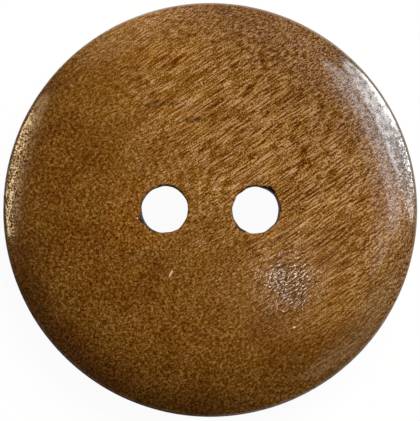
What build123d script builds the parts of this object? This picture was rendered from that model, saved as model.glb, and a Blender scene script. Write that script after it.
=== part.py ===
"""Two-hole sewing button, turned from one piece of hardwood.

The origin is the middle of the flat back, +Z points out of the crowned front,
and +X runs along the line of the sewing holes. All lengths are in millimetres.
"""

import os

from build123d import *

# The turned blank
DIAMETER = 25.0            # across the rim, a 40 ligne button
THICKNESS = 4.5            # flat back to the top of the crown
CROWN_DIAMETER = 17.0      # where the gentle crown runs into the shoulder
CROWN_RISE = 0.4           # middle of the crown above its own edge
SHOULDER_DROP = 1.6        # edge of the crown down to the front corner of the rim
FRONT_EDGE_RADIUS = 0.45   # front corner of the rim, eased by tumbling
BACK_EDGE_RADIUS = 1.1     # back corner of the rim

# The most of the rim's wall that each rounded corner may take up
FRONT_EDGE_SHARE = 0.3
BACK_EDGE_SHARE = 0.6

# The sewing holes
HOLE_COUNT = 2
HOLE_DIAMETER = 2.8
HOLE_PITCH = 5.5           # between neighbouring hole centres
HOLE_MOUTH_BREAK = 0.12    # hole edges, broken by tumbling, front and back
DRILL_OVERRUN = 1.0        # how far the drill passes both faces

# Sizes that follow from the driving ones
RIM_RADIUS = DIAMETER / 2
CROWN_EDGE_RADIUS = CROWN_DIAMETER / 2
CROWN_EDGE_HEIGHT = THICKNESS - CROWN_RISE
RIM_HEIGHT = CROWN_EDGE_HEIGHT - SHOULDER_DROP
HOLE_RADIUS = HOLE_DIAMETER / 2


def corner_eased(section, corner, radius):
    """Round the one corner of a flat section that lies at the given point."""
    vertex = section.vertices().sort_by_distance(corner)[0]
    return fillet(vertex, radius)


def half_section():
    """Half of the button's section, from its axis out to the rim."""
    front_corner = (RIM_RADIUS, RIM_HEIGHT)
    back_corner = (RIM_RADIUS, 0)
    crown = TangentArc(
        (0, THICKNESS), (CROWN_EDGE_RADIUS, CROWN_EDGE_HEIGHT), tangent=(1, 0)
    )
    shoulder = TangentArc(crown @ 1, front_corner, tangent=crown % 1)
    rim_back_and_axis = Polyline(front_corner, back_corner, (0, 0), (0, THICKNESS))
    section = make_face(crown + shoulder + rim_back_and_axis)
    front_edge = min(FRONT_EDGE_RADIUS, FRONT_EDGE_SHARE * RIM_HEIGHT)
    back_edge = min(BACK_EDGE_RADIUS, BACK_EDGE_SHARE * RIM_HEIGHT)
    section = corner_eased(section, front_corner, front_edge)
    return corner_eased(section, back_corner, back_edge)


def turned_blank():
    """The button as it leaves the lathe, with its seam clear of the holes."""
    return revolve(Plane.YZ * half_section(), Axis.Z)


def drills():
    """One drill for each sewing hole, in line through the middle."""
    length = THICKNESS + 2 * DRILL_OVERRUN
    drill = Pos(0, 0, THICKNESS / 2) * Cylinder(HOLE_RADIUS, length)
    return GridLocations(HOLE_PITCH, 0, HOLE_COUNT, 1) * drill


def hole_mouths(drilled):
    """The round edges where the sewing holes meet the front and the back."""
    walls = drilled.faces().filter_by(GeomType.CYLINDER)
    rims = [wall.edges().filter_by(GeomType.LINE, reverse=True)
            for wall in walls if wall.radius < RIM_RADIUS]
    return [edge for rim in rims for edge in rim]


def button():
    """The finished button: turned, drilled and tumbled smooth."""
    drilled = turned_blank() - drills()
    return chamfer(hole_mouths(drilled), HOLE_MOUTH_BREAK)


os.makedirs("parts", exist_ok=True)
export_step(button(), "parts/button.step")
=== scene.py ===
"""A turned, stained and lacquered wooden sewing button on a pale studio floor.

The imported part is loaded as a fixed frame, in metres. The button made here stands
for the part's solid at the same place and size, and adds what the solid leaves
out: eased and chipped hole mouths, the unevenness of sanding, and the wood itself.
Sizes in the classes are in millimetres unless their comment says otherwise.
"""

import logging
import math
from dataclasses import dataclass, field
from enum import Enum
from typing import ClassVar

import bmesh
import bpy
from bmesh.types import BMEdge, BMesh, BMVert
from bpy.types import ID, Material, Node, NodeSocket, NodeTree, Object, ShaderNodeTree, World
from mathutils import Color, Euler, Matrix, Vector, noise


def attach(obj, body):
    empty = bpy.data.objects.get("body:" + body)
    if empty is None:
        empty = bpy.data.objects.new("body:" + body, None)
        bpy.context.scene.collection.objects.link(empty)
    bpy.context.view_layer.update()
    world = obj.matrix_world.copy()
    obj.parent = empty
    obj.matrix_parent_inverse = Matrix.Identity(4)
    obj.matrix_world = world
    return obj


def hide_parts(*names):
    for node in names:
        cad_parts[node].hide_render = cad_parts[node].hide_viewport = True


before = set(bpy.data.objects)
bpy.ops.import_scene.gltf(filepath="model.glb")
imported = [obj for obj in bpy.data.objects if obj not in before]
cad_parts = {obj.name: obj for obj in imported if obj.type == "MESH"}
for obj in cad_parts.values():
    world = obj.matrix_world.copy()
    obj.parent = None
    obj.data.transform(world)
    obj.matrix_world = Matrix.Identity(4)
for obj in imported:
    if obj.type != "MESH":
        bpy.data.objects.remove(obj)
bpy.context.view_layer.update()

Colour = tuple[float, float, float]
Shade = tuple[float, float, float, float]
Span = tuple[float, float]
Stops = tuple[tuple[float, Shade], ...]
Names = tuple[str, ...]
Masks = dict[str, NodeSocket]
Wired = NodeSocket | float | tuple | Vector

MM = 0.001                          # metres in a millimetre
FULL = 255                          # the brightest value of a screen's colour
MIDDLE = 0.5                        # what a noise and the grain swing about
SOFT: Span = (1.0, 0.5)             # layers of finer noise, and how rough they make it
SCORCH = "scorch"                   # mesh attribute: how dark the wood is round the holes
LOG = logging.getLogger("button")


def linear(red: int, green: int, blue: int) -> Shade:
    """Turn a colour as it is seen on a screen, from 0 to 255, into the shader's linear one."""
    seen = Color((red / FULL, green / FULL, blue / FULL))
    return *seen.from_srgb_to_scene_linear(), 1.0


def seal(bm: BMesh, weld: float) -> None:
    """Make points that are nearer than the weld one, and turn all faces outwards."""
    bmesh.ops.remove_doubles(bm, verts=bm.verts[:], dist=weld)
    bmesh.ops.recalc_face_normals(bm, faces=bm.faces[:])


def set_up(name: str, data: ID) -> Object:
    """Put a new object into the scene.

    Args:
        name: the object's name.
        data: its mesh, lamp or camera.

    Returns:
        The object.
    """
    thing = bpy.data.objects.new(name, data)
    bpy.context.scene.collection.objects.link(thing)
    return thing


def smooth_object(name: str, bm: BMesh) -> Object:
    """Turn a bmesh into a smooth object in the scene.

    Args:
        name: the object's name.
        bm: its shape, which is used up.

    Returns:
        The object.
    """
    mesh = bpy.data.meshes.new(name)
    bm.to_mesh(mesh)
    bm.free()
    mesh.shade_smooth()
    return set_up(name, mesh)


class Surface(Enum):
    """The kinds of surface on the button, by their material index."""

    LACQUERED = 0
    DRILLED = 1


class Blend(Enum):
    """How one colour is laid over another."""

    MIX = "MIX"
    MULTIPLY = "MULTIPLY"


class Lighting(Enum):
    """What a lamp does to the button."""

    SHADES = 0      # lights it without showing in its gloss
    GLINTS = 1      # shows in its gloss alone


class NodeBench:
    """Places and wires the nodes of one shader tree."""

    def __init__(self, tree: NodeTree) -> None:
        """Take over a tree and clear it."""
        self.tree = tree
        tree.nodes.clear()

    @classmethod
    def of(cls, data: Material | World) -> "NodeBench":
        """Turn on the nodes of a material or a world and take them over."""
        data.use_nodes = True
        return cls(data.node_tree)

    def place(self, kind: str, **settings: object) -> Node:
        """Add a node.

        Args:
            kind: the node's type name.
            settings: properties to set on the node.

        Returns:
            The new node.
        """
        node = self.tree.nodes.new(kind)
        for name, value in settings.items():
            setattr(node, name, value)
        return node

    def feed(self, socket: NodeSocket, value: Wired) -> None:
        """Wire a socket to another one, or set it to a plain value.

        Args:
            socket: the input that is fed.
            value: an output, or the plain value.
        """
        if isinstance(value, NodeSocket):
            self.tree.links.new(value, socket)
        else:
            socket.default_value = value

    def fill(self, node: Node, values: dict[str, Wired]) -> Node:
        """Feed a node's inputs by their names.

        Args:
            node: the node.
            values: what the inputs are fed with.

        Returns:
            The node.
        """
        for name, value in values.items():
            self.feed(node.inputs[name], value)
        return node

    def join(self, node: Node, *values: Wired) -> NodeSocket:
        """Feed a node's inputs in their order.

        Args:
            node: the node.
            values: what its first inputs are fed with.

        Returns:
            The node's first output.
        """
        for socket, value in zip(node.inputs, values):
            self.feed(socket, value)
        return node.outputs[0]

    def close(self, kind: str, surface: NodeSocket) -> None:
        """End the tree in an output node."""
        self.feed(self.place(kind).inputs["Surface"], surface)

    def math(self, operation: str, *values: Wired) -> NodeSocket:
        """Work a sum out of one to three values."""
        return self.join(self.place("ShaderNodeMath", operation=operation), *values)

    def times(self, first: Wired, second: Wired) -> NodeSocket:
        """Multiply two values."""
        return self.math("MULTIPLY", first, second)

    def scaled(self, value: Wired, factor: Wired, plus: Wired) -> NodeSocket:
        """Multiply a value by a factor, and add another value."""
        return self.math("MULTIPLY_ADD", value, factor, plus)

    def rest(self, mask: Wired) -> NodeSocket:
        """What a mask leaves over."""
        return self.math("SUBTRACT", 1.0, mask)

    def radius(self, x: NodeSocket, y: NodeSocket) -> NodeSocket:
        """How far a place lies from the Z axis."""
        return self.math("SQRT", self.scaled(x, x, self.times(y, y)))

    def towards(self, place: NodeSocket, bearing: float) -> NodeSocket:
        """How far a place lies towards a bearing, which is in degrees above +X."""
        return self.split(self.mapped(place, turn=-bearing))[0]

    def vector(self, *values: Wired) -> NodeSocket:
        """Join three values into one vector."""
        return self.join(self.place("ShaderNodeCombineXYZ"), *values)

    def split(self, vector: Wired) -> tuple[NodeSocket, ...]:
        """Take a vector apart into its three values."""
        return tuple(self.fill(self.place("ShaderNodeSeparateXYZ"), {"Vector": vector}).outputs)

    def mapped(self, vector: Wired, shift: tuple = (0, 0, 0), turn: float = 0.0,
               scale: float = 1.0) -> NodeSocket:
        """Scale a vector, turn it about the Z axis by degrees, and shift it."""
        return self.fill(self.place("ShaderNodeMapping", vector_type="POINT"), {
            "Vector": vector, "Location": shift, "Scale": (scale,) * 3,
            "Rotation": (0, 0, math.radians(turn))}).outputs[0]

    def span(self, value: Wired, low: float, high: float,
             to_low: float = 0.0, to_high: float = 1.0) -> NodeSocket:
        """Map a span of values smoothly onto another one, and hold its ends."""
        return self.fill(self.place("ShaderNodeMapRange", interpolation_type="SMOOTHSTEP"), {
            "Value": value, "From Min": low, "From Max": high,
            "To Min": to_low, "To Max": to_high}).outputs[0]

    def cloud(self, vector: Wired, scale: float = 1.0, detail: float = 0.0,
              roughness: float = 0.5) -> Node:
        """Add a noise that is read at a vector, with one value and one colour as outputs."""
        node = self.place("ShaderNodeTexNoise", noise_dimensions="3D")
        return self.fill(node, {"Vector": vector, "Scale": scale, "Detail": detail,
                                "Roughness": roughness})

    def noise(self, vector: Wired, scale: float = 1.0, detail: float = 0.0,
              roughness: float = 0.5) -> NodeSocket:
        """Read a noise that swings evenly about nought, by up to a half."""
        fac = self.cloud(vector, scale, detail, roughness).outputs["Fac"]
        return self.math("SUBTRACT", fac, MIDDLE)

    def blend(self, mode: Blend, factor: Wired, first: Wired, second: Wired) -> NodeSocket:
        """Lay a second colour over a first one."""
        node = self.place("ShaderNodeMix", data_type="RGBA", blend_type=mode.value)
        return self.fill(node, {"Factor": factor, "A": first, "B": second}).outputs["Result"]

    def ramp(self, value: Wired, stops: Stops) -> NodeSocket:
        """Turn a value into a colour.

        Args:
            value: what is turned into a colour.
            stops: the values and colours between which it is shaded.

        Returns:
            The colour.
        """
        node = self.place("ShaderNodeValToRGB")
        elements = node.color_ramp.elements
        while len(elements) < len(stops):
            elements.new(1.0)
        for element, (position, colour) in zip(elements, stops):
            element.position = position
            element.color = colour
        self.feed(node.inputs[0], value)
        return node.outputs[0]


class Effect:
    """An effect that the finishes share, kept as one shader node group.

    It reads a position in metres, and gives plain values.
    """

    name: ClassVar[str]
    vectors: ClassVar[Names] = ("Position",)
    values: ClassVar[Names] = ()
    gives: ClassVar[Names]

    def use(self, bench: NodeBench, **given: Wired) -> Masks:
        """Place the effect in a tree, fed with what is given, and return its outputs by name."""
        node = bench.fill(bench.place("ShaderNodeGroup", node_tree=self._group()), given)
        return {name: node.outputs[name] for name in self.gives}

    def _group(self) -> ShaderNodeTree:
        """Build the node group, or return it if it is there.

        Returns:
            The effect's node group.
        """
        found = bpy.data.node_groups.get(self.name)
        if found:
            return found
        tree = bpy.data.node_groups.new(self.name, "ShaderNodeTree")
        bench = NodeBench(tree)
        for names, way, kind in ((self.vectors, "INPUT", "NodeSocketVector"),
                                 (self.values, "INPUT", "NodeSocketFloat"),
                                 (self.gives, "OUTPUT", "NodeSocketFloat")):
            for name in names:
                tree.interface.new_socket(name, in_out=way, socket_type=kind)
        inside = bench.place("NodeGroupInput").outputs
        given = {name: inside[name] for name in (*self.vectors, *self.values)}
        bench.fill(bench.place("NodeGroupOutput"), self._made(bench, given))
        return tree

    def _made(self, bench: NodeBench, given: Masks) -> Masks:
        """Wire the effect up from the group's inputs, and return what feeds its outputs."""
        raise NotImplementedError


@dataclass(frozen=True)
class FibreGrain(Effect):
    """The wood's fibres as a field in space.

    The fibres run across the button at an angle. On one side they lie flat, and the
    cut shows long streaks. Towards the other side they dive ever steeper into the
    wood, and the cut shows end grain.
    """

    name: ClassVar[str] = "fibre_grain"
    values: ClassVar[Names] = ("Across", "Along")
    gives: ClassVar[Names] = ("Streak", "Speckle", "Dash", "Stain", "End Grain")

    bearing: float = 35.0             # degrees, of the fibres above +X
    flat_from: float = 2.5            # where along the fibres they start to lie flat
    dive: float = 0.10                # how their lean grows before that, per mm
    wander: float = 0.25              # how far the fibres wander sideways
    wander_scale: float = 0.55        # wanders per mm
    wander_stretch: float = 0.4       # how much slower they wander along the fibres
    beside: tuple = (0.4, 1.6, 0.7)   # how many fibres away a streak's neighbour is read
    streak_share: float = 0.67        # how strong the streaks are
    streaks: Span = (-6.5, 6.0)       # from faint streaks to full ones, along the fibres
    streak_left: float = 0.4          # how much of them is left in the end grain
    # where the grain is calmer across the fibres, and how much of it is left there
    calm_sides: tuple[tuple[Span, Span], ...] = (((-9.0, -3.0), (0.85, 1.0)),
                                                 ((3.5, 9.0), (1.0, 0.82)))
    speckle_cell: float = 0.078       # size of the even speckle over the streaks
    speckle_share: float = 0.94       # how strong it is
    end_grain: Span = (-6.5, 2.2)     # from end grain to streaks, along the fibres
    end_slant: float = 0.11           # how that border leans across the fibres
    end_curve: float = 0.020          # how it bends back to the sides, per mm
    end_cell: float = 0.17            # size of the speckle in the end grain
    end_detail: Span = (1.5, 0.75)    # layers of finer speckle, and how rough they make it
    end_share: float = 1.05           # how strong it is
    dash: Span = (0.24, 0.05)         # length and width of a glint of lacquer
    stain_scale: float = 0.45         # changes of the stain per mm
    stain_stretch: float = 0.3        # how much slower it changes along the fibres
    deep_stain: Span = (-0.12, 0.12)  # from the thinnest to the deepest stain

    def _made(self, bench: NodeBench, given: Masks) -> Masks:
        """Wire the grain up.

        Args:
            bench: the group's tree.
            given: the position, and a fibre's width and length.

        Returns:
            The grain from dark to light, its speckle and its dashes, the uneven stain
            and the share of end grain.
        """
        place = bench.mapped(given["Position"], turn=-self.bearing, scale=1 / MM)
        along, across, height = bench.split(place)
        short = bench.math("MINIMUM", bench.math("SUBTRACT", along, self.flat_from), 0.0)
        depth = bench.scaled(bench.times(short, short), self.dive / 2, height)
        slow = bench.vector(bench.times(along, self.wander_stretch), across, depth)
        drift = bench.split(bench.cloud(slow, self.wander_scale, *SOFT).outputs["Color"])
        across = bench.scaled(drift[0], self.wander, across)
        depth = bench.scaled(drift[1], self.wander, depth)

        lean = bench.scaled(across, -self.end_curve, self.end_slant)
        border = bench.scaled(across, lean, along)
        ends = bench.span(border, *self.end_grain, 1.0, 0.0)
        fibre = self._cell(bench, (along, across, depth), given["Along"], given["Across"])
        streak = bench.math("SUBTRACT", bench.noise(fibre),
                            bench.noise(bench.mapped(fibre, shift=self.beside)))
        speckle = bench.noise(place, 1 / self.speckle_cell)
        grain = bench.scaled(speckle, self.speckle_share, bench.times(streak, self.streak_share))
        grain = bench.times(grain, bench.span(border, *self.streaks, self.streak_left, 1.0))
        for side, left in self.calm_sides:
            grain = bench.times(grain, bench.span(across, *side, *left))
        pores = bench.times(bench.noise(place, 1 / self.end_cell, *self.end_detail), ends)
        grain = bench.scaled(pores, self.end_share, grain)
        band = bench.vector(bench.times(along, self.stain_stretch), across, depth)
        return {
            "Streak": bench.math("ADD", grain, MIDDLE),
            "Speckle": speckle,
            "Dash": bench.noise(self._cell(bench, (along, across, depth), *self.dash)),
            "Stain": bench.span(bench.noise(band, self.stain_scale, *SOFT), *self.deep_stain),
            "End Grain": ends,
        }

    @staticmethod
    def _cell(bench: NodeBench, place: tuple, length: Wired, width: Wired) -> NodeSocket:
        """Count a place along, across and into the fibres in lengths and widths."""
        sizes = (length, width, width)
        return bench.vector(*(bench.math("DIVIDE", *pair) for pair in zip(place, sizes)))


@dataclass(frozen=True)
class TurningMarks(Effect):
    """The fine rings that sanding on the lathe leaves near the rim."""

    name: ClassVar[str] = "turning_marks"
    gives: ClassVar[Names] = ("Marks",)

    pitch: float = 0.23           # between neighbouring rings
    turns: float = 1.8            # how many marks there are in one radian of a ring
    detail: Span = (1.0, 0.6)     # layers of finer marks, and how rough they make them
    near: Span = (10.3, 11.8)     # radii between which the marks grow

    def _made(self, bench: NodeBench, given: Masks) -> Masks:
        """Wire the marks up.

        Args:
            bench: the group's tree.
            given: the position.

        Returns:
            The height of the marks about nought.
        """
        x, y, z = bench.split(bench.mapped(given["Position"], scale=1 / MM))
        radius = bench.radius(x, y)
        turn = bench.times(bench.math("ARCTAN2", y, x), self.turns)
        ring, level = (bench.math("DIVIDE", value, self.pitch) for value in (radius, z))
        marks = bench.noise(bench.vector(ring, turn, level), 1.0, *self.detail)
        return {"Marks": bench.times(marks, bench.span(radius, *self.near))}


@dataclass(frozen=True)
class EdgeWearAndShade(Effect):
    """Handled front, thick and worn lacquer on the rim, and the rim's painted shade and sheen."""

    name: ClassVar[str] = "edge_wear_and_shade"
    gives: ClassVar[Names] = ("Handled", "Rim", "Corner Sheen", "Rubbed", "Pits", "Shaded Side",
                              "Right Rim Shade", "Far Rim Shade")

    handled: Span = (8.0, 9.7)          # radii between which the handling of the front ends
    rim: Span = (9.3, 12.3)             # radii between which the lacquer grows thick
    corner: Span = (12.33, 12.42)       # radii between which the front corner starts
    corner_height: Span = (1.9, 2.2)    # heights between which it starts
    corner_sheen: Span = (1.0, 10.0)            # from a plain corner to one with a painted sheen
    rubbed: Span = (-11.0, -7.0)        # from a corner without lacquer to a sound one
    pit_cell: float = 0.12              # size of an open pore
    pit_depth: Span = (-0.12, 0.16)     # from sound wood to an open pore
    left_pits: Span = (-11.2, -9.8)     # where along X the left of the rim is pitted
    right_pits: Span = (10.6, 11.8)     # where its right is
    right_share: float = 0.8            # how deep the right's pits are beside the left's
    shade_bearing: float = 50.0       # degrees, of the side painted with shade; the corner's masks are measured along it too
    shaded_side: Span = (5.5, 10.5)    # from no painted shade to its full depth at the rim's edge
    right_shade_bearing: float = 27.0          # degrees, of the right side, where painted shade darkens the rim
    right_shade: Span = (10.0, 12.3)       # from streaks to their cut ends
    low_shade_bearing: float = -25.0          # degrees, of the painted shade's side below that one
    low_shade: Span = (9.5, 12.0)         # from its start to its full depth
    low_shade_share: float = 0.35             # how strong it is beside the right's painted shade
    far_rim_shade: Span = (10.4, 12.2)        # radii between which painted shade darkens the far side's rim
    far_shade_side: Span = (-7.0, -1.0)       # from the far side to the middle

    def _made(self, bench: NodeBench, given: Masks) -> Masks:
        """Wire the edges up.

        Args:
            bench: the group's tree.
            given: the position.

        Returns:
            The share of each kind of edge.
        """
        place = bench.mapped(given["Position"], scale=1 / MM)
        x, y, z = bench.split(place)
        radius = bench.radius(x, y)
        corner = bench.times(bench.span(radius, *self.corner), bench.span(z, *self.corner_height))
        pores = bench.span(bench.noise(place, 1 / self.pit_cell), *self.pit_depth)
        pitted = bench.math("MAXIMUM", bench.span(x, *self.left_pits, 1.0, 0.0),
                            bench.span(x, *self.right_pits, 0.0, self.right_share))
        shade_way = bench.towards(place, self.shade_bearing)
        near = bench.towards(place, self.right_shade_bearing)
        low = bench.towards(place, self.low_shade_bearing)
        return {
            "Handled": bench.span(radius, *self.handled, 1.0, 0.0),
            "Rim": bench.span(radius, *self.rim),
            # painted sheen on the front corner, on the lit side
            "Corner Sheen": bench.times(corner, bench.span(shade_way, *self.corner_sheen)),
            "Rubbed": bench.times(corner, bench.span(shade_way, *self.rubbed, 1.0, 0.0)),
            "Pits": bench.times(pores, pitted),
            # painted shade, darker towards the upper right
            "Shaded Side": bench.span(shade_way, *self.shaded_side),
            # painted shade on the rim's right and lower right
            "Right Rim Shade": bench.math("MAXIMUM", bench.span(near, *self.right_shade),
                                   bench.span(low, *self.low_shade, 0.0, self.low_shade_share)),
            # painted shade on the far, lower left rim
            "Far Rim Shade": bench.times(bench.span(radius, *self.far_rim_shade),
                                   bench.span(near, *self.far_shade_side, 1.0, 0.0)),
        }


@dataclass(frozen=True)
class OvalPatch(Effect):
    """A soft oval patch at any place."""

    name: ClassVar[str] = "oval_patch"
    vectors: ClassVar[Names] = ("Position", "Place", "Turn", "Size")
    gives: ClassVar[Names] = ("Patch",)

    edge: Span = (0.45, 1.0)      # from the full patch to its end, as shares of its size

    def _made(self, bench: NodeBench, given: Masks) -> Masks:
        """Wire the patch up.

        Args:
            bench: the group's tree.
            given: the position, and the oval's middle, turn and half sizes.

        Returns:
            One in the patch, and nought outside of it.
        """
        oval = bench.place("ShaderNodeMapping", vector_type="TEXTURE")
        bench.fill(oval, {"Vector": given["Position"], "Location": given["Place"],
                          "Rotation": given["Turn"], "Scale": given["Size"]})
        length = bench.place("ShaderNodeVectorMath", operation="LENGTH")
        bench.feed(length.inputs[0], oval.outputs[0])
        return {"Patch": bench.span(length.outputs["Value"], *self.edge, 1.0, 0.0)}


@dataclass(frozen=True)
class ColourSpot:
    """A small spot of colour, for a mark in the finish and for a painted highlight alike."""

    place: tuple[float, float, float]   # of its middle
    half_length: float
    half_width: float
    bearing: float                      # degrees, of its length above +X
    blend: Blend
    colour: Shade
    strength: float
    half_depth: float = 1.0

    def over(self, bench: NodeBench, place: NodeSocket, colour: NodeSocket) -> NodeSocket:
        """Lay the spot over a colour.

        Args:
            bench: the tree to work in.
            place: the position that is read.
            colour: the colour under the spot.

        Returns:
            The colour with the spot.
        """
        size = Vector((self.half_length, self.half_width, self.half_depth))
        patch = OvalPatch().use(bench, Position=place, Place=Vector(self.place) * MM,
                                Turn=(0, 0, math.radians(self.bearing)), Size=size * MM)["Patch"]
        return bench.blend(self.blend, bench.times(patch, self.strength), colour, self.colour)


SMUDGE: Shade = (0.55, 0.50, 0.55, 1.0)
THIN_STAIN: Shade = (1.26, 1.26, 1.3, 1.0)
DULLED: Shade = (0.62, 0.60, 0.66, 1.0)
COLOUR_SPOTS = (
    # a scratch below the left hole; two painted highlights at the lower right and a painted glint
    # at the left hole's mouth
    ColourSpot((-2.335, -3.83, 4.3), 0.30, 0.075, 65, Blend.MIX, linear(236, 214, 186), 0.9),
    # painted highlights on small bumps
    ColourSpot((5.08, -7.0, 4.0), 0.13, 0.07, 20, Blend.MIX, linear(246, 226, 200), 0.9),
    ColourSpot((4.42, -6.04, 4.1), 0.11, 0.06, 150, Blend.MIX, linear(240, 214, 186), 0.8),
    # painted glint on the hole's chipped mouth
    ColourSpot((-4.36, -0.52, 4.3), 0.09, 0.035, 105, Blend.MIX, linear(214, 204, 198), 0.8),
    # thin stain beside the left hole, a dulled patch at the lower right, and dark smudges
    ColourSpot((-4.4, -0.4, 4.3), 2.9, 2.6, 80, Blend.MULTIPLY, THIN_STAIN, 1.0),
    ColourSpot((4.75, -4.36, 4.2), 1.9, 1.5, -30, Blend.MULTIPLY, DULLED, 0.9),
    ColourSpot((-3.33, 6.34, 4.1), 0.75, 0.30, 12, Blend.MULTIPLY, SMUDGE, 0.8),
    ColourSpot((-2.25, 6.35, 4.1), 0.45, 0.24, -8, Blend.MULTIPLY, SMUDGE, 0.7),
    ColourSpot((-1.00, 5.42, 4.2), 0.85, 0.30, 4, Blend.MULTIPLY, SMUDGE, 0.7),
)


@dataclass(frozen=True)
class WoodFinish:
    """A stained wood finish that is dressed by the fibre grain."""

    name: str
    stops: Stops                       # of the ramp from dark to light fibres
    shades: dict[str, Shade]           # what each mask multiplies the colour by
    fibre: Span                        # one fibre's width and length
    roughness: Span                    # of the wood in hollows and on ridges
    lacquer: Span                      # the thin lacquer's share between dashes and in them
    film: Span                         # the same for the thick lacquer at the rim
    lacquer_roughness: float
    relief: float                      # depth of the grain
    marks: float                       # depth of the turning marks
    sheen: float                       # the shader's specular level
    spots: tuple[ColourSpot, ...] = ()
    ridges: Span = (0.3, 0.7)          # from hollows to ridges of the grain
    patch_scale: float = 0.9           # patches per mm
    patch_detail: Span = (1.0, 0.6)    # layers of finer patches, and how rough they make them
    yellow_patch: Span = (-0.15, 0.15)     # from plain to yellower patches
    patch_lift: float = 0.3            # how much the patches lift the dashes
    dash_edge: Span = (0.05, 0.22)     # from no lacquer to a dash of it
    bite_cell: float = 0.28            # size of the bites in the film
    bite_lift: float = 0.9             # how much they thin or thicken it
    marks_lift: float = 1.3            # how much the turning marks do
    speckle_lift: float = 0.65         # how much the speckle does
    film_edge: Span = (-0.18, 0.14)    # from the film's thinnest to its thickest
    handled_share: float = 0.75        # how much of the lacquer handling has worn away
    corner_sheen: Shade = linear(152, 130, 107)    # painted sheen: a pale grey on the rim's front corner, in place of a reflection
    corner_sheen_share: float = 0.55

    def material(self) -> Material:
        """Make the finish as a material.

        Returns:
            The new material.
        """
        material = bpy.data.materials.new(self.name)
        bench = NodeBench.of(material)
        place = bench.place("ShaderNodeTexCoord").outputs["Object"]
        width, length = self.fibre
        patch = bench.noise(place, self.patch_scale / MM, *self.patch_detail)
        masks = {
            **FibreGrain().use(bench, Position=place, Across=width, Along=length),
            **TurningMarks().use(bench, Position=place),
            **EdgeWearAndShade().use(bench, Position=place),
            "Scorch": bench.place("ShaderNodeAttribute", attribute_name=SCORCH).outputs["Fac"],
            "Patch": patch,
            "Yellow": bench.span(patch, *self.yellow_patch),
            "Bites": bench.noise(place, 1 / (self.bite_cell * MM)),
        }
        shader = bench.fill(bench.place("ShaderNodeBsdfPrincipled"), {
            "Base Color": self._colour(bench, place, masks),
            "Roughness": bench.span(masks["Streak"], *self.ridges, *self.roughness),
            "Specular IOR Level": self.sheen,
            "Coat Weight": self._lacquer(bench, masks),
            "Coat Roughness": self.lacquer_roughness,
            "Normal": self._relief(bench, masks),
        })
        bench.close("ShaderNodeOutputMaterial", shader.outputs[0])
        return material

    def _colour(self, bench: NodeBench, place: NodeSocket, masks: Masks) -> NodeSocket:
        """Colour the fibres, paint shade and a sheen on the rim, and lay the spots over them.

        Args:
            bench: the material's tree.
            place: the position that is read.
            masks: the grain and the edges by their names.

        Returns:
            The wood's colour.
        """
        colour = bench.ramp(masks["Streak"], self.stops)
        # the stain, patches, end grain and scorch are the wood's own colour; the rim's masks paint
        # shade onto it
        for mask, shade in self.shades.items():
            colour = bench.blend(Blend.MULTIPLY, masks[mask], colour, shade)
        # painted sheen on the rim's front corner, in place of a reflection
        corner_sheen = bench.times(masks["Corner Sheen"], self.corner_sheen_share)
        colour = bench.blend(Blend.MIX, corner_sheen, colour, self.corner_sheen)
        for spot in self.spots:
            colour = spot.over(bench, place, colour)
        return colour

    def _lacquer(self, bench: NodeBench, masks: Masks) -> NodeSocket:
        """Spread the lacquer: dashes of it on the front, a film of it at the rim.

        Args:
            bench: the material's tree.
            masks: the grain and the edges by their names.

        Returns:
            The lacquer's share.
        """
        lifted = bench.scaled(masks["Patch"], self.patch_lift, masks["Dash"])
        thin = bench.span(lifted, *self.dash_edge, *self.lacquer)
        uneven = bench.times(masks["Speckle"], self.speckle_lift)
        for mask, lift in (("Marks", self.marks_lift), ("Bites", self.bite_lift)):
            uneven = bench.scaled(masks[mask], lift, uneven)
        thick = bench.span(uneven, *self.film_edge, *self.film)
        front = bench.rest(masks["Rim"])
        coat = bench.scaled(thick, masks["Rim"], bench.times(thin, front))
        bare = bench.times(masks["Handled"], self.handled_share)
        for mask in ("Rubbed", "Pits", "Scorch"):
            bare = bench.math("MAXIMUM", bare, masks[mask])
        return bench.times(coat, bench.rest(bare))

    def _relief(self, bench: NodeBench, masks: Masks) -> NodeSocket:
        """Raise the grain and the turning marks, and return the bent normal."""
        height = bench.scaled(masks["Marks"], self.marks / self.relief, masks["Streak"])
        return bench.fill(bench.place("ShaderNodeBump"), {
            "Distance": self.relief * MM, "Height": height}).outputs[0]


LACQUERED_WOOD = WoodFinish(
    name="lacquered_wood",
    stops=((0.2, linear(78, 30, 0)), (0.38, linear(120, 73, 0)), (0.5, linear(142, 95, 26)),
           (0.8, linear(209, 168, 128))),
    shades={
        "Stain": (0.83, 0.76, 0.60, 1.0),
        "Yellow": (1.0, 0.99, 0.74, 1.0),
        "End Grain": (0.64, 0.56, 0.32, 1.0),
        # painted shade, darker towards the upper right
        "Shaded Side": (0.59, 0.55, 0.47, 1.0),
        # painted shade on the rim's right edge
        "Right Rim Shade": (0.26, 0.28, 0.30, 1.0),
        # painted shade on the far, lower left rim
        "Far Rim Shade": (0.70, 0.62, 0.32, 1.0),
        "Scorch": (0.04, 0.035, 0.035, 1.0),
    },
    fibre=(0.080, 1.1),
    roughness=(0.6, 0.42),
    lacquer=(0.0, 1.0),
    film=(0.35, 1.0),
    lacquer_roughness=0.12,
    relief=0.012,
    marks=0.010,
    sheen=0.04,
    spots=COLOUR_SPOTS,
)
DRILLED_WOOD = WoodFinish(
    name="drilled_wood",
    stops=((0.22, linear(40, 24, 9)), (0.5, linear(74, 47, 21)), (0.78, linear(116, 80, 42))),
    shades={
        "Stain": (0.8, 0.78, 0.74, 1.0),
        "End Grain": (0.8, 0.78, 0.74, 1.0),
        "Scorch": (0.7, 0.66, 0.62, 1.0),
    },
    fibre=(0.15, 1.2),
    roughness=(0.8, 0.65),
    lacquer=(0.0, 0.1),
    film=(0.0, 0.1),
    lacquer_roughness=0.3,
    relief=0.03,
    marks=0.0,
    sheen=0.3,
)
FINISHES = {Surface.LACQUERED: LACQUERED_WOOD, Surface.DRILLED: DRILLED_WOOD}


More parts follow.
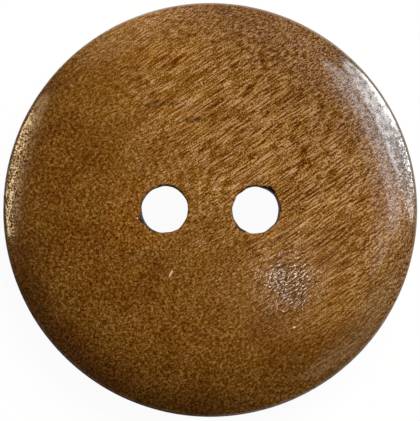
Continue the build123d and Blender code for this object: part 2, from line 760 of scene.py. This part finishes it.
class Lathe:
    """Draws a profile in the XZ plane and spins it about the Z axis."""

    def __init__(self, start: tuple[float, float, float]) -> None:
        """Put the first point of the profile down."""
        self.bm = bmesh.new()
        self.tip: BMVert = self.bm.verts.new(start)

    def arc(self, centre: Vector, angle: float, steps: int) -> None:
        """Carry the profile on round an arc, by radians from +Z towards +X."""
        last = bmesh.ops.spin(self.bm, geom=[self.tip], cent=centre, axis=(0, 1, 0),
                              angle=angle, steps=steps)["geom_last"]
        self.tip = next(item for item in last if isinstance(item, BMVert))

    def straight(self, run: Vector, steps: int) -> None:
        """Carry the profile on along a straight line.

        Args:
            run: the line's length and direction.
            steps: how many edges it has.
        """
        for _ in range(steps):
            self.tip = bmesh.ops.extrude_vert_indiv(self.bm, verts=[self.tip])["verts"][0]
            bmesh.ops.translate(self.bm, vec=run / steps, verts=[self.tip])

    def spun(self, steps: int) -> BMesh:
        """Spin the profile a full turn.

        Args:
            steps: how many edges go round.

        Returns:
            The shape, with its faces listed in the same order each run.
        """
        bmesh.ops.spin(self.bm, geom=[*self.bm.verts, *self.bm.edges], cent=(0, 0, 0),
                       axis=(0, 0, 1), angle=2 * math.pi, steps=steps, use_merge=True)
        self.bm.verts.index_update()
        ordered = sorted(self.bm.faces, key=lambda face: sorted(vert.index for vert in face.verts))
        for number, face in enumerate(ordered):
            face.index = number
        self.bm.faces.sort()
        return self.bm


@dataclass(frozen=True)
class TurnedProfile:
    """The outline that the lathe gives the blank, the same as the solid's."""

    diameter: float = 25.0
    thickness: float = 4.5
    crown_diameter: float = 17.0
    crown_rise: float = 0.4
    shoulder_drop: float = 1.6
    front_edge: float = 0.45
    back_edge: float = 1.1

    @property
    def rim_radius(self) -> float:
        """The radius of the rim's wall."""
        return self.diameter / 2

    @property
    def crown_edge(self) -> float:
        """The radius at which the crown runs into the shoulder."""
        return self.crown_diameter / 2

    @property
    def crown_radius(self) -> float:
        """The radius of the crown's arc."""
        return (self.crown_edge ** 2 + self.crown_rise ** 2) / (2 * self.crown_rise)

    @property
    def crown_centre(self) -> Vector:
        """The middle of the crown's arc."""
        return Vector((0, 0, self.thickness - self.crown_radius))

    def crown_slope(self, radius: float) -> float:
        """The crown's slope at a radius, in radians."""
        return math.asin(radius / self.crown_radius)

    def crown_height(self, radius: float) -> float:
        """The crown's height above the back at a radius."""
        return self.crown_centre.z + math.sqrt(self.crown_radius ** 2 - radius ** 2)

    @property
    def shoulder_radius(self) -> float:
        """The radius of the arc from the crown's edge to the rim's front corner."""
        run = self.rim_radius - self.crown_edge
        half_turn = math.atan2(self.shoulder_drop, run) - self.crown_slope(self.crown_edge)
        return math.hypot(run, self.shoulder_drop) / (2 * math.sin(half_turn))

    @property
    def shoulder_centre(self) -> Vector:
        """The middle of the shoulder's arc."""
        slope = self.crown_slope(self.crown_edge)
        inward = Vector((-math.sin(slope), 0, -math.cos(slope)))
        edge = Vector((self.crown_edge, 0, self.crown_height(self.crown_edge)))
        return edge + inward * self.shoulder_radius

    @property
    def front_edge_centre(self) -> Vector:
        """The middle of the small arc that eases the rim's front corner."""
        x = self.rim_radius - self.front_edge
        away = x - self.shoulder_centre.x
        rise = math.sqrt((self.shoulder_radius - self.front_edge) ** 2 - away ** 2)
        return Vector((x, 0, self.shoulder_centre.z + rise))

    @property
    def shoulder_end_slope(self) -> float:
        """The slope at which the shoulder runs into the eased front corner."""
        away = self.front_edge_centre - self.shoulder_centre
        return math.atan2(away.x, away.z)


@dataclass(frozen=True)
class Chip:
    """A place on a hole's front edge where the drill scorched and chipped the wood."""

    hole: int             # 0 is the left hole, 1 the right one
    bearing: float        # degrees from +X round the hole's axis
    spread: float         # degrees to either side
    reach: float          # how far it runs out from the hole
    depth: float          # how much wood is missing
    fade: float = 0.06    # how wide its edge is

    def share(self, bearing: float, away: float) -> float:
        """How much of the chip is felt at a place.

        Args:
            bearing: the place's bearing round the hole's axis, in degrees.
            away: how far the place lies outside the hole's wall.

        Returns:
            One in the chip, and nought outside of it.
        """
        off = abs((bearing - self.bearing + 180) % 360 - 180) / self.spread
        if off >= 1:
            return 0.0
        return min(1.0, max(0.0, (self.reach * (1 - off ** 2) - away) / self.fade))


@dataclass
class SewingButton:
    """The button: a turned blank, two drilled holes, sanded and finished."""

    name: str = "button_turned"
    profile: TurnedProfile = field(default_factory=TurnedProfile)
    hole_diameter: float = 2.8
    hole_pitch: float = 5.5
    mouth: float = 0.16              # radius of the eased edge of a hole
    collar: float = 0.34             # width of the finely divided ring round a hole
    disc_radius: float = 7.0         # of the middle disc that carries the holes
    weld: float = 0.002              # points nearer than this become one

    # how finely the surfaces are divided
    around: int = 480                # round the rim
    hole_around: int = 336           # round a hole
    collar_steps: int = 6
    mouth_steps: int = 5
    wall_steps: int = 6
    front_rings: int = 40            # between a collar and the disc's edge
    back_rings: int = 9
    crown_steps: int = 14
    shoulder_steps: int = 38
    front_edge_steps: int = 8
    rim_steps: int = 8
    back_edge_steps: int = 12
    back_steps: int = 6

    # what sanding and drilling did to them
    sanding: float = 0.006           # depth of the unevenness that sanding leaves
    hollows: tuple[Span, ...] = ((0.45, 0.6), (1.4, 0.2), (2.4, 0.2))   # per mm, and their share
    wobble: float = 0.05             # how far the drill ran out of round
    wobble_scale: float = 1.9        # bulges per mm
    chips: tuple[Chip, ...] = (
        Chip(0, 72, 40, 0.13, 0.03), Chip(0, 203, 17, 0.27, 0.06), Chip(0, 236, 20, 0.13, 0.03),
        Chip(0, 330, 40, 0.05, 0.02), Chip(1, 57, 22, 0.25, 0.05), Chip(1, 95, 20, 0.10, 0.03),
        Chip(1, 12, 20, 0.13, 0.03), Chip(1, 228, 24, 0.17, 0.04), Chip(1, 190, 22, 0.09, 0.03),
    )
    chip_floor: float = 0.32         # how far below the front the chips end
    chip_wander: float = 0.09        # how far the edge of a chip wanders
    chip_waves: tuple[Span, ...] = ((4.5, 1.0), (11.0, 0.6))   # per mm, and their share
    seed: Vector = field(default_factory=lambda: Vector((11.3, 4.7, 29.1)))

    def build(self) -> Object:
        """Model the whole button and dress it.

        Returns:
            The button's object, riding on its body in place of the CAD node.
        """
        bm = self._core()
        self._join(bm, self._spun_body())
        seal(bm, self.weld)
        self._wear(bm)
        bmesh.ops.scale(bm, vec=(MM,) * 3, verts=bm.verts[:])
        piece = smooth_object(self.name, bm)
        self._dress(piece)
        return piece

    def _dress(self, piece: Object) -> None:
        """Give the button its finishes and its place in the frame.

        Args:
            piece: the button's object.
        """
        for surface in Surface:
            piece.data.materials.append(FINISHES[surface].material())
        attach(piece, "root")
        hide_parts("button")

    @staticmethod
    def _join(bm: BMesh, part: BMesh) -> None:
        """Move a part's geometry into another bmesh.

        Args:
            bm: where the geometry goes.
            part: where it comes from, which is used up.
        """
        mesh = bpy.data.meshes.new("part")
        part.to_mesh(mesh)
        part.free()
        bm.from_mesh(mesh)
        bpy.data.meshes.remove(mesh)

    @property
    def _hole_radius(self) -> float:
        """The radius of a hole's wall."""
        return self.hole_diameter / 2

    @property
    def _hole_places(self) -> tuple[Vector, Vector]:
        """The middles of the two holes."""
        half = self.hole_pitch / 2
        return Vector((-half, 0, 0)), Vector((half, 0, 0))

    def _core(self) -> BMesh:
        """Model the middle of the button: front and back discs and the holes.

        Returns:
            A bmesh with its front raised to the crown.
        """
        bm = bmesh.new()
        top = self.profile.thickness
        for height, rings in ((top, self.front_rings), (0.0, self.back_rings)):
            self._drilled_disc(bm, height, rings)
        for middle in self._hole_places:
            self._join(bm, self._bore(middle))
        bmesh.ops.remove_doubles(bm, verts=bm.verts[:], dist=self.weld)
        for vert in bm.verts:
            vert.co.z *= self.profile.crown_height(vert.co.xy.length) / top
        return bm

    def _drilled_disc(self, bm: BMesh, height: float, rings: int) -> None:
        """Lay a flat disc round the two collars, quilted with quads.

        Args:
            bm: where the disc goes.
            height: the disc's height.
            rings: how many cuts lie between a collar and the disc's edge.
        """
        level = Matrix.Translation((0, 0, height))
        verts = bmesh.ops.create_circle(
            bm, cap_ends=True, segments=self.around, radius=self.disc_radius, matrix=level,
        )["verts"]
        disc = verts[0].link_faces[0]
        cut = bmesh.ops.bisect_plane(
            bm, geom=[disc, *disc.edges, *disc.verts], dist=self.weld,
            plane_co=(0, 0, height), plane_no=(1, 0, 0),
        )["geom_cut"]
        diameter = [item for item in cut if isinstance(item, BMEdge)]
        halves = sorted(diameter[0].link_faces, key=lambda face: face.calc_center_median().x)
        cuts = self.hole_around - self.around // 2 - 1
        bmesh.ops.subdivide_edges(bm, edges=diameter, cuts=cuts)
        outlines = [list(half.edges) for half in halves]
        bmesh.ops.delete(bm, geom=halves, context="FACES_ONLY")
        for outline, middle in zip(outlines, self._hole_places):
            ring = bmesh.ops.create_circle(
                bm, segments=self.hole_around,
                radius=self._hole_radius + self.mouth + self.collar,
                matrix=level @ Matrix.Translation(middle),
            )["verts"]
            loop = {edge for vert in ring for edge in vert.link_edges}
            bridge = bmesh.ops.bridge_loops(bm, edges=[*outline, *loop])["edges"]
            bmesh.ops.subdivide_edges(bm, edges=bridge, cuts=rings)

    def _bore(self, middle: Vector) -> BMesh:
        """Spin a hole's wall, its eased mouths and their collars about the hole's axis.

        Args:
            middle: the middle of the hole.

        Returns:
            A bmesh of the wall.
        """
        top, ease = self.profile.thickness, self.mouth
        edge = self._hole_radius + ease
        lathe = Lathe((edge + self.collar, 0, top))
        lathe.straight(Vector((-self.collar, 0, 0)), self.collar_steps)
        lathe.arc(Vector((edge, 0, top - ease)), -math.pi / 2, self.mouth_steps)
        lathe.straight(Vector((0, 0, 2 * ease - top)), self.wall_steps)
        lathe.arc(Vector((edge, 0, ease)), -math.pi / 2, self.mouth_steps)
        lathe.straight(Vector((self.collar, 0, 0)), self.collar_steps)
        bm = lathe.spun(self.hole_around)
        for face in bm.faces:
            if ease < face.calc_center_median().z < top - ease:
                face.material_index = Surface.DRILLED.value
        bmesh.ops.translate(bm, vec=middle, verts=bm.verts[:])
        return bm

    def _spun_body(self) -> BMesh:
        """Spin the outside of the button from the disc's edge round to the back.

        Returns:
            A bmesh of crown edge, shoulder, rim and back.
        """
        shape = self.profile
        edge_slope, end_slope = shape.crown_slope(shape.crown_edge), shape.shoulder_end_slope
        lathe = Lathe((self.disc_radius, 0, shape.crown_height(self.disc_radius)))
        lathe.arc(shape.crown_centre, edge_slope - shape.crown_slope(self.disc_radius),
                  self.crown_steps)
        lathe.arc(shape.shoulder_centre, end_slope - edge_slope, self.shoulder_steps)
        lathe.arc(shape.front_edge_centre, math.pi / 2 - end_slope, self.front_edge_steps)
        lathe.straight(Vector((0, 0, shape.back_edge - shape.front_edge_centre.z)),
                       self.rim_steps)
        back = shape.rim_radius - shape.back_edge
        lathe.arc(Vector((back, 0, shape.back_edge)), math.pi / 2, self.back_edge_steps)
        lathe.straight(Vector((self.disc_radius - back, 0, 0)), self.back_steps)
        return lathe.spun(self.around)

    def _wear(self, bm: BMesh) -> None:
        """Wear the surface inwards, and mark the scorched wood round the holes.

        Args:
            bm: the sound button.
        """
        bm.normal_update()
        scorch = bm.verts.layers.float.new(SCORCH)
        moves = []
        for vert in bm.verts:
            vert[scorch], depth = self._drill_damage(vert.co)
            inwards = vert.normal * -(depth + self._sanded(vert.co))
            moves.append((vert, inwards + self._out_of_round(vert.co)))
        for vert, move in moves:
            vert.co += move

    def _ripple(self, place: Vector, waves: tuple[Span, ...]) -> float:
        """Add up noise of several sizes, each by its share, about nought."""
        return sum(share * noise.noise(place * scale + self.seed * number)
                   for number, (scale, share) in enumerate(waves, 1))

    def _sanded(self, place: Vector) -> float:
        """How much wood sanding has taken away at a place."""
        return self.sanding * (1 + self._ripple(place, self.hollows))

    def _nearest_hole(self, place: Vector) -> tuple[int, Vector, float]:
        """Find the hole that is nearest to a place.

        Args:
            place: a place on the sound surface.

        Returns:
            The hole's number, the way from its axis out to the place, and how far
            the place lies outside its wall.
        """
        ways = [(place.xy - middle.xy) for middle in self._hole_places]
        hole = min(range(len(ways)), key=lambda number: ways[number].length)
        return hole, ways[hole], ways[hole].length - self._hole_radius

    def _out_of_round(self, place: Vector) -> Vector:
        """How the drill's run-out has shifted a place.

        Args:
            place: a place on the sound surface.

        Returns:
            The shift away from the nearest hole's axis.
        """
        hole, out, away = self._nearest_hole(place)
        fade = max(0.0, 1 - max(0.0, away) / (self.mouth + self.collar))
        bulge = noise.noise(out.to_3d() * self.wobble_scale + self.seed * (hole + 1))
        return out.normalized().to_3d() * (self.wobble * fade * bulge)

    def _drill_damage(self, place: Vector) -> tuple[float, float]:
        """How the drill left the wood at a place.

        Args:
            place: a place on the sound surface.

        Returns:
            How dark it is scorched, from nought to one, and how much wood is missing.
        """
        dark, depth = 0.0, 0.0
        hole, out, away = self._nearest_hole(place)
        below = self.profile.crown_height(place.xy.length) - place.z
        if away > self.mouth + self.collar or below > self.chip_floor:
            return dark, depth
        bearing = math.degrees(math.atan2(out.y, out.x))
        edge = away + self.chip_wander * self._ripple(place, self.chip_waves)
        for chip in self.chips:
            if chip.hole == hole:
                share = chip.share(bearing, edge)
                dark, depth = max(dark, share), max(depth, share * chip.depth)
        return dark, depth


@dataclass(frozen=True)
class Softbox:
    """An oval lamp that faces the button, by where it stands and what it gives."""

    name: str
    azimuth: float            # degrees from +X, as seen in the photo
    elevation: float          # degrees above the floor
    width: float              # metres
    height: float             # metres
    radiance: float           # how bright its face is, where 1 is white
    colour: Colour
    lighting: Lighting = Lighting.GLINTS
    distance: float = 0.5     # metres

    def build(self) -> None:
        """Set the lamp up."""
        lamp = bpy.data.lights.new(self.name, "AREA")
        lamp.shape = "ELLIPSE"
        lamp.size, lamp.size_y = self.width, self.height
        face = math.pi / 4 * self.width * self.height
        lamp.energy = self.radiance * math.pi * face
        lamp.color = self.colour
        turn, rise = math.radians(self.azimuth), math.radians(self.elevation)
        towards = Vector((math.cos(rise) * math.cos(turn),
                          math.cos(rise) * math.sin(turn), math.sin(rise)))
        stand = set_up(self.name, lamp)
        stand.location = towards * self.distance
        stand.rotation_euler = towards.to_track_quat("Z", "Y").to_euler()
        stand.visible_camera = False
        stand.visible_glossy = self.lighting is Lighting.GLINTS
        stand.visible_diffuse = self.lighting is Lighting.SHADES


@dataclass
class Studio:
    """The pale floor, the lamps and the camera above the button."""

    profile: TurnedProfile = field(default_factory=TurnedProfile)
    floor_radius: float = 1.5          # metres
    lip_radius: float = 0.12           # metres, of the sweep at the floor's edge
    floor_steps: int = 12              # from the floor's middle to the sweep
    lip_steps: int = 10                # up the sweep
    floor_around: int = 96
    floor_glow: float = 0.955          # what the camera sees of the floor without any lamp
    floor_tint: float = 0.05           # how much of the light and the shadow it sees on it
    paper: float = 0.4                 # how much light the floor throws back at the button
    fill: float = 0.08                 # the even light from all round
    fill_colour: Shade = (1.0, 0.88, 0.62, 1.0)
    lamps: tuple[Softbox, ...] = (
        Softbox("sky_cloth", 60, 47, 0.56, 0.56, 10.3, (1.0, 0.98, 0.95), Lighting.SHADES, 0.8),
        Softbox("back_wall", 95, 27, 0.68, 0.34, 0.5, (0.94, 0.96, 1.0)),
        Softbox("window_edge", 24, 11, 0.34, 0.15, 19, (0.98, 0.99, 1.0)),
        Softbox("window_low", 23, 19, 0.45, 0.23, 12, (0.96, 0.98, 1.0)),
        Softbox("window_middle", 23, 36, 0.47, 0.18, 6, (0.90, 0.94, 1.0)),
        Softbox("window_top", 14, 48, 0.45, 0.20, 3, (0.88, 0.93, 1.0)),
        Softbox("left_lamp", 170, 16, 0.32, 0.17, 12.5, (1.0, 0.78, 0.42)),
        Softbox("left_glow", 167, 18, 0.38, 0.27, 4.2, (1.0, 0.77, 0.44)),
        Softbox("right_glow", 320, 28, 0.34, 0.20, 0.9, (1.0, 0.90, 0.60)),
        Softbox("ceiling_lamp", 318, 80, 0.051, 0.051, 80, (1.0, 0.91, 0.86), distance=0.6),
    )
    camera_height: float = 250.0
    photo_size: tuple[int, int] = (420, 421)             # pixels
    photo_radius: float = 207.1        # pixels from the outline's middle to its edge
    photo_centre: tuple[float, float] = (210.2, 209.9)   # pixels
    photo_roll: float = -0.36          # degrees that the line of holes falls to the right

    def build(self) -> None:
        """Set up the floor, the light and the camera."""
        self._floor()
        self._world()
        for lamp in self.lamps:
            lamp.build()
        self._camera()
        bpy.context.scene.view_settings.view_transform = "Standard"

    def _floor(self) -> None:
        """Spin a wide floor whose edge sweeps up to a low lip."""
        lathe = Lathe((0, 0, 0))
        lathe.straight(Vector((self.floor_radius, 0, 0)), self.floor_steps)
        lathe.arc(Vector((self.floor_radius, 0, self.lip_radius)), -math.pi / 2, self.lip_steps)
        bm = lathe.spun(self.floor_around)
        seal(bm, MM)
        floor = smooth_object("floor", bm)
        floor.data.materials.append(self._floor_paper())

    def _floor_paper(self) -> Material:
        """Make the pale paper of the floor.

        Returns:
            A material that looks white to the camera and keeps a soft shadow.
        """
        material = bpy.data.materials.new("floor_paper")
        bench = NodeBench.of(material)
        rays = bench.place("ShaderNodeLightPath").outputs
        seen = bench.math("MAXIMUM", rays["Is Camera Ray"], rays["Is Glossy Ray"])
        seen = bench.math("MAXIMUM", seen, rays["Is Transmission Ray"])
        paper, tint = (bench.join(bench.place("ShaderNodeBsdfDiffuse"), (grey, grey, grey, 1.0))
                       for grey in (self.paper, self.floor_tint))
        glow = bench.fill(bench.place("ShaderNodeEmission"), {"Strength": self.floor_glow})
        lit = bench.join(bench.place("ShaderNodeAddShader"), tint, glow.outputs[0])
        choice = bench.join(bench.place("ShaderNodeMixShader"), seen, paper, lit)
        bench.close("ShaderNodeOutputMaterial", choice)
        return material

    def _world(self) -> None:
        """Fill the room with an even, low light."""
        world = bpy.data.worlds.new("room")
        bench = NodeBench.of(world)
        room = bench.join(bench.place("ShaderNodeBackground"), self.fill_colour, self.fill)
        bench.close("ShaderNodeOutputWorld", room)
        bpy.context.scene.world = world

    def _camera(self) -> None:
        """Stand the camera straight above the button, framed as the photo is."""
        width, height = self.photo_size
        pixel = self.profile.rim_radius / self.photo_radius
        reach = self.camera_height - self.profile.front_edge_centre.z
        camera = bpy.data.cameras.new("camera")
        camera.lens = camera.sensor_width * reach / (max(width, height) * pixel)
        stand = set_up("camera", camera)
        right = (width / 2 - self.photo_centre[0]) * pixel
        up = (self.photo_centre[1] - height / 2) * pixel
        stand.location = Vector((right, up, self.camera_height)) * MM
        stand.rotation_euler = Euler((0, 0, math.radians(-self.photo_roll)))
        bpy.context.scene.camera = stand


def main() -> None:
    """Build the studio and the button."""
    logging.basicConfig(level=logging.INFO, format="%(name)s: %(message)s")
    studio = Studio()
    studio.build()
    LOG.info("studio with %d lamps", len(studio.lamps))
    piece = SewingButton().build()
    LOG.info("%s with %d faces", piece.name, len(piece.data.polygons))


if __name__ == "__main__":
    main()
